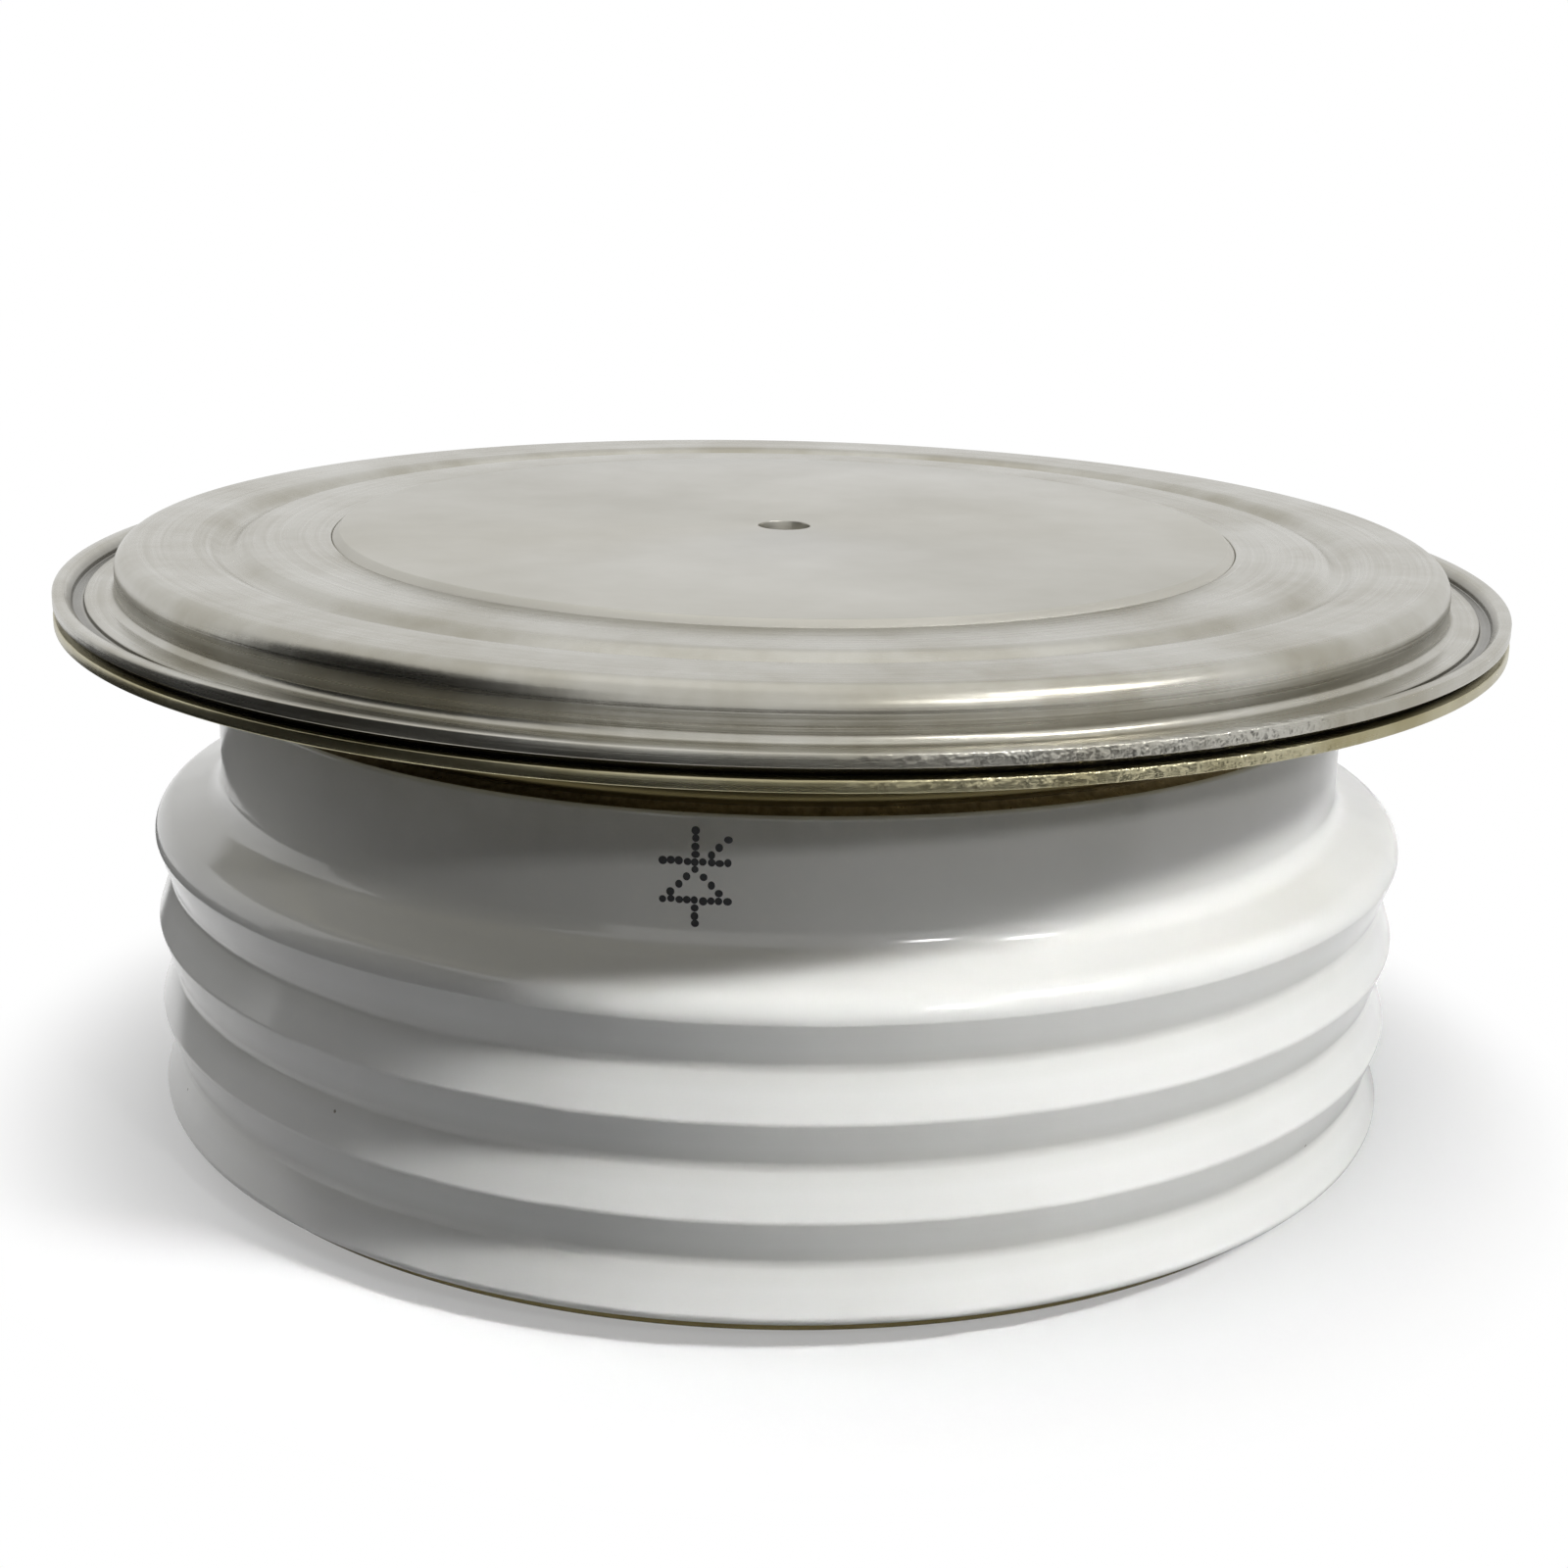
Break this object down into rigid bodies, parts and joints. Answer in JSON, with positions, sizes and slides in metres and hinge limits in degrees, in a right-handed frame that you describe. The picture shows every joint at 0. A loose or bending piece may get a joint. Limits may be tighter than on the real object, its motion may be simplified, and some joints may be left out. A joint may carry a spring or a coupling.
{
  "type": "disc thyristor",
  "caption": "Disc-type power thyristor in a ribbed white ceramic ring with a wide cold-welded metal rim, flat contact faces top and bottom and a pinched gate tube.",
  "frame": {"origin": "centre of the anode face, on the surface that the disc stands on", "axes": "+Z along the disc's axis towards the cathode face and the welded rim; +Y towards the gate tube"},
  "size_m": [0.095, 0.095, 0.0389],
  "materials": {
    "glazed_ceramic": "white gloss glaze",
    "nickel_plate": "bright nickel plating on pressed sheet",
    "pole_nickel": "satin nickel plating on turned copper",
    "silver": "soft silver",
    "molybdenum": "lapped molybdenum",
    "silicon": "polished and metallised silicon",
    "silicone_rubber": "cast silicone rubber",
    "ptfe": "turned white plastic",
    "spring_steel": "drawn spring wire",
    "braze": "silver-copper braze"
  },
  "bodies": {
    "root": {"ceramic_ring": "glazed_ceramic", "weld_flange": "nickel_plate", "lid_flange": "nickel_plate", "cathode_pole": "pole_nickel", "anode_pole": "pole_nickel", "anode_flange": "nickel_plate", "anode_foil": "silver", "anode_moly_disc": "molybdenum", "silicon_wafer": "silicon", "edge_coating": "silicone_rubber", "cathode_moly_disc": "molybdenum", "cathode_foil": "silver", "locating_ring": "ptfe", "gate_pin": "molybdenum", "gate_spring": "spring_steel", "gate_bush": "ptfe", "gate_cap": "ptfe", "gate_wire": "silver", "gate_sleeve": "ptfe", "gate_tube": "nickel_plate", "gate_eyelet": "braze"}
  },
  "joints": []
}
